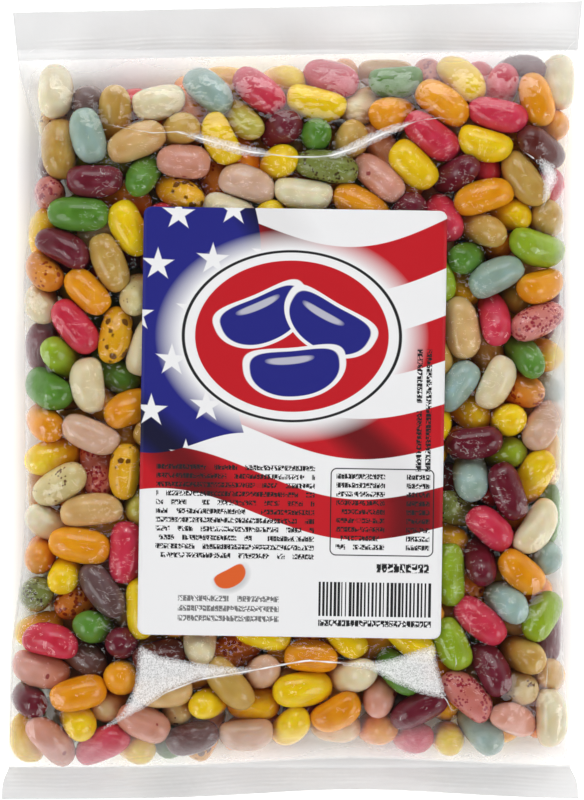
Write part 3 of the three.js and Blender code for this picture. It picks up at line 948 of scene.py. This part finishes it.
def closed_sheet(name, x, y, layers):
    """A mesh with a front and a back layer over the same grid of places, joined round its rim."""
    rows, columns = x.shape
    points = np.concatenate([np.stack([x, y, layer], -1).reshape(-1, 3) for layer in layers]) * MM
    index = np.arange(rows * columns).reshape(rows, columns)
    faces = []
    for grid, turn in ((index, 1), (index + rows * columns, -1)):
        quads = np.stack([grid[:-1, :-1], grid[:-1, 1:], grid[1:, 1:], grid[1:, :-1]], -1).reshape(-1, 4)
        faces.append(quads[:, ::turn])
    rim = np.concatenate([index[0, :-1], index[:-1, -1], index[-1, :0:-1], index[:0:-1, 0]])
    below = rim + rows * columns
    faces.append(np.stack([rim, below, np.roll(below, -1), np.roll(rim, -1)], -1))
    mesh = bpy.data.meshes.new(name)
    mesh.from_pydata(points, [], np.concatenate(faces).tolist())
    mesh.shade_smooth()
    return mesh


def clear_film():
    """Thin clear film: a mirror where it is seen at a slant, with white glare painted along folds and on the
    facets beside them, and frosted off the beans.
    """
    material, sheet = new_material("clear_film")
    place = sheet.node("ShaderNodeTexCoord", out="Object")
    pressed = sheet.stored("haze").over(0.9, 0.12)
    relief = (place.noise(CRINKLES, 1.0) * (1 - pressed * 0.9)).relief(0.8, 0.0005)
    # Painted highlight: a thin white line along each fold, broken here and there
    strength = sheet.stored("fold_strength") * (place.noise(FOLD_BREAKS) * 1.3 + 0.2)
    line = (strength * FOLD_LINE - abs(sheet.stored("fold_side"))).over(0, 0.24)
    line = line * sheet.stored("fold_near").under(0.9, 0.4)
    # Painted glare: grainy white over the facets beside the folds
    cells = sheet.node("ShaderNodeVectorMath", {"operation": "FLOOR"}, {0: place.scaled(GRAIN_PER_METRE)})
    inside = sheet.stored("facet") + 0.5
    facet = ((inside * 0.4).smaller(0.7) + cells.roll() * 0.6 - 0.14).clamped() * inside.over(0.1, 0.5)
    # The painted glare of folds and facets, and then that with the haze
    white = (line * strength.clamped()).larger(facet * 0.92)
    haze = sheet.stored("haze") * (place.noise(HAZE_CLOUDS) * 0.3 + 0.42) + pressed * 0.28
    glare_and_haze = white.larger(haze)
    facing = sheet.node("ShaderNodeLayerWeight", None, {"Blend": 0.5, "Normal": relief}, out="Facing")
    mirror = facing ** 5 * (1 - FILM_GLOSS) + FILM_GLOSS
    dull = (glare_and_haze * 4).clamped()
    rough = white.over(0.3, 0.4)
    grey = sheet.mix(pressed, HAZE_GREY, SEAL_GREY)
    surface = sheet.node("ShaderNodeBsdfPrincipled", None, {
        "Base Color": sheet.mix((1 - dull).larger(rough), grey, MIRROR_AND_GLARE_WHITE),
        "Metallic": 1 - dull,
        "Roughness": rough * 0.4 + dull * 0.08 + 0.05,
        "Normal": relief,
    })
    through = sheet.node("ShaderNodeBsdfTransparent", None, {"Color": FILM_TINT})
    mixed = {0: mirror.larger(glare_and_haze), 1: through, 2: surface}
    finish_material(sheet, sheet.node("ShaderNodeMixShader", None, mixed))
    return material


def bean_mark(x, y, middle, size, turn):
    """Roughly how far inside a bean's silhouette each place lies, in millimetres."""
    dx, dy = x - middle[0], y - middle[1]
    u = (dx * math.cos(turn) + dy * math.sin(turn)) / size[0]
    v = (dy * math.cos(turn) - dx * math.sin(turn)) / size[1] - MARK_BEND * (u * u - 0.4)
    return (1 - (abs(u) ** BEAN_BLUNTNESS + abs(v) ** BEAN_BLUNTNESS)) * (size[1] * 0.4)


def fine_print(sheet, x, y, area, pitch, words):
    """Rows of small unreadable squiggles, as fine print looks from afar."""
    left, right, bottom, top = area
    row = ((top - y) / pitch).floor()
    height = (top - y) / pitch % 1
    letter = pitch * 0.4
    spot = sheet.node("ShaderNodeCombineXYZ", None, {0: x / letter + row * 7.3, 1: y / letter, 2: row * 3.7})
    stroke = abs(spot.noise(1.1, 1.0) - 0.5).under(0.112, 0.04) * (x / letter % 1).over(0.1, 0.1)
    word = sheet.node("ShaderNodeCombineXYZ", None, {0: (x / (letter * 2.2) + row * 0.37).floor(), 1: row})
    inked = height.between(0.18, 0.76, 0.1) * stroke * word.roll().under(words, 0.02)
    return inked * x.between(left, right, 0.1) * y.between(bottom, top, 0.1)


def bars(x, y, area, pitch):
    """Upright bars of mixed widths that spell nothing."""
    left, right, bottom, top = area
    across = (x - left) / pitch
    width = (across.floor() * 0.73).roll("1D") * 0.5 + 0.28
    return (across % 1).under(width, 0.06) * x.between(left, right, 0.05) * y.between(bottom, top, 0.1)


def frame_line(x, y, area, corner, half):
    """A line round a box with round corners."""
    left, right, bottom, top = area
    dx = abs(x - (left + right) / 2) - ((right - left) / 2 - corner)
    dy = abs(y - (bottom + top) / 2) - ((top - bottom) / 2 - corner)
    px, py = dx.larger(0), dy.larger(0)
    away = (px * px + py * py) ** 0.5 + dx.larger(dy).smaller(0) - corner
    return abs(away).under(half, 0.15)


def star_field(sheet, x, y, pitch, size):
    """Five-pointed stars in staggered rows."""
    row = (y / pitch[1]).floor()
    u = ((x / pitch[0] + row % 2 * 0.5) % 1 - 0.5) * pitch[0]
    v = (y / pitch[1] % 1 - 0.5) * pitch[1]
    turn = sheet.maths("ARCTAN2", v, u)
    step = 2 * math.pi / 5
    fold = abs((turn + step / 2 - STAR_TILT) % step - step / 2)
    reach = (u * u + v * v) ** 0.5
    edge = reach * sheet.maths("COSINE", fold - step)
    return (size * math.cos(step) - edge).over(0, 0.25)


def printed_paper():
    """The label: a starry blue field, waving red and white bands, a badge of beans, and fine print."""
    material, sheet = new_material("printed_label")
    place = sheet.node("ShaderNodeTexCoord", out="Object")
    middle = tuple(value * MM for value in LABEL_MIDDLE) + (0,)
    flat = sheet.node("ShaderNodeMapping", {"vector_type": "TEXTURE"}, {
        "Vector": place, "Location": middle, "Rotation": (0, 0, LABEL_TURN), "Scale": (MM, MM, MM),
    })
    x, y, _ = flat.parts()
    folds = (x * 0.11 + y * 0.055 + (y * 0.09).sine() * 0.9).sine().over(0.62, 0.7)
    wave = y + (x * 0.062 + 0.6).sine() * 6 + (x * 0.021 + y * 0.03).sine() * 4
    red = (wave * (2 * math.pi / 25) + 0.9).sine().over(0, 0.05)
    red_art = sheet.mix(red, PAPER_WHITE, sheet.mix(folds * 0.85, LABEL_RED, LABEL_DEEP_RED))
    dim = sheet.mix(folds * (1 - red) * 0.25, red_art, PAPER_DIM)
    stars = star_field(sheet, x + y * 0.16, y - x * 0.1, (15.5, 13.5), 4.7)
    blue_art = sheet.mix(folds, LABEL_BLUE, LABEL_DEEP_BLUE)
    blue_art = sheet.mix(stars, blue_art, PAPER_WHITE)
    field_edge = x + 13 + (y * 0.09 + 0.4).sine() * 3.5
    in_field = field_edge.under(0, 0.15) * (y + 6 + (x * 0.12).sine() * 3).over(0, 0.15)
    art = sheet.mix(in_field, dim, blue_art)
    art = sheet.mix(wave.under(-28.6, 0.15), art, PAPER_WHITE)
    art = label_badge(sheet, x, y, art)
    ink = frame_line(x, y, *TABLE_FRAME).larger(bars(x, y, *BAR_FIELD))
    for area, pitch, words in FINE_PRINT:
        ink = ink.larger(fine_print(sheet, x, y, area, pitch, words))
    ink = ink.larger(fine_print(sheet, y, x, *UPRIGHT_PRINT))
    ink = ink.larger(fine_print(sheet, x, y, *PALER_PRINT) * 0.8)
    art = sheet.mix(ink, art, INK)
    mark = bean_mark(x, y, (-16.5, -43), (4.6, 2.5), 0.5)
    shade = bean_mark(x, y, (-15.9, -43.7), (4.9, 2.8), 0.5).over(0, 1.6)
    art = sheet.mix(shade * 0.45, art, MARK_SHADE)
    art = sheet.mix(mark.over(0, 0.2), art, LABEL_ORANGE)
    tooth = place.noise(PAPER_TOOTH, 3.0)
    finish_material(sheet, sheet.node("ShaderNodeBsdfPrincipled", None, {
        "Base Color": art,
        "Roughness": tooth * 0.12 + 0.36,
        "IOR": 1.45,
        "Specular IOR Level": 0.3,
        "Coat Weight": 0.1,
        "Coat Roughness": 0.25,
        "Normal": tooth.relief(0.12, 0.0001),
    }))
    return material


def label_badge(sheet, x, y, art):
    """An oval badge over the art: a soft white glow, a keyline, a red middle and three blue beans."""
    dx, dy = (x + 0.5) / 1.28, y - 24
    reach = (dx * dx + dy * dy) ** 0.5
    art = sheet.mix(reach.under(27, 5.5), art, PAPER_WHITE)
    art = sheet.mix(reach.between(23.2, 23.9, 0.15), art, INK)
    art = sheet.mix(reach.under(21, 0.15), art, LABEL_RED)
    for middle, size, turn in BADGE_BEANS:
        inside = bean_mark(x, y, middle, size, turn)
        art = sheet.mix(inside.over(-1.1, 0.2), art, PAPER_WHITE)
        art = sheet.mix(inside.over(0, 0.2), art, LABEL_BLUE)
        spot = (middle[0] - 1.5, middle[1] + size[1] * 0.45)
        shine = bean_mark(x, y, spot, (size[0] * 0.5, size[1] * 0.16), turn)
        art = sheet.mix(shine.over(0, 0.3) * 0.55, art, PAPER_WHITE)
    return art


def make_floor():
    """A pale floor with painted light: it glows outside the bag and under the bag's sides and ends, so that
    no shadow shows there, and fades to its own pale colour under the rest of the bag.
    """
    reach = FLOOR_REACH
    corners = [(-reach, -reach, FLOOR), (reach, -reach, FLOOR), (reach, reach, FLOOR), (-reach, reach, FLOOR)]
    floor = bpy.data.meshes.new("floor")
    floor.from_pydata(corners, [], [(0, 1, 2, 3)])
    material, sheet = new_material("pale_floor")
    x, y, _ = sheet.node("ShaderNodeTexCoord", out="Object").parts()
    # Painted light: where the floor glows, so that no shadow shows round the bag
    glow = abs(x).over((PACK_WIDTH / 2 - SIDE_GLOW) * MM, 2 * SIDE_GLOW * MM)
    for height, (reach_in, softness) in ((y, UPPER_GLOW), (0 - y, LOWER_GLOW)):
        glow = glow.larger(height.over((PACK_LENGTH / 2 - reach_in) * MM, softness * MM))
    finish_material(sheet, sheet.node("ShaderNodeBsdfPrincipled", None, {
        "Base Color": (0.93, 0.93, 0.93, 1), "Roughness": 0.9, "Specular IOR Level": 0.1,
        "Emission Color": sheet.mix(glow, (0, 0, 0, 1), (1, 1, 1, 1)), "Emission Strength": FLOOR_GLOW,
    }))
    floor.materials.append(material)
    new_object("floor", floor)


def light_room():
    """A pale room with a dim roof, so that the film's level parts mirror little."""
    world = bpy.data.worlds.new("room")
    world.use_nodes = True
    world.node_tree.nodes.clear()
    room = Wire(world.node_tree)
    roof = room.node("ShaderNodeTexCoord", out="Generated").parts()[2].over(0.6, 0.3)
    light = room.node("ShaderNodeBackground", None, {
        "Color": (1, 1, 1, 1), "Strength": roof * (ROOM_ROOF - ROOM_LIGHT) + ROOM_LIGHT,
    })
    room.node("ShaderNodeOutputWorld", None, {"Surface": light})
    bpy.context.scene.world = world


def hang_lights():
    """Softboxes all round, each turned to the bag."""
    for name, (azimuth, off_vertical, distance, size, power) in LIGHTS.items():
        light = bpy.data.lights.new(name, "AREA")
        light.shape = "RECTANGLE"
        light.size, light.size_y = size
        light.energy = power
        lamp = new_object(name, light)
        turn, tilt = math.radians(azimuth), math.radians(off_vertical)
        way = Vector((math.sin(turn) * math.sin(tilt), -math.cos(turn) * math.sin(tilt), math.cos(tilt)))
        lamp.location = way * distance
        lamp.rotation_euler = way.to_track_quat("Z", "Y").to_euler()


def set_camera():
    """Straight down on the bag, through a lens that just fits the bag into the frame."""
    camera = bpy.data.cameras.new("camera")
    camera.sensor_fit = "VERTICAL"
    camera.sensor_height = SENSOR
    camera.lens = SENSOR * (CAMERA_HEIGHT - SEAL_HEIGHT) / FRAME_HEIGHT
    camera.clip_end = 20
    holder = new_object("camera", camera)
    holder.location = (0, 0, CAMERA_HEIGHT * MM)
    bpy.context.scene.camera = holder


set_camera()
make_floor()
light_room()
hang_lights()
bpy.context.scene.view_settings.view_transform = "Standard"
chance = np.random.default_rng(LOOKS_SEED)
bean_pieces = make_beans(chance)
heap = heap_of(bean_pieces)
under_label = settled_label(heap)
label_sheet = make_label(under_label)
label_sheet.data.materials.append(printed_paper())
film_bag = make_film(heap, under_label, chance)
film_bag.data.materials.append(clear_film())
for piece in [film_bag, *bean_pieces]:
    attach(piece, "root")
    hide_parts("bag")
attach(label_sheet, "root")
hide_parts("label")
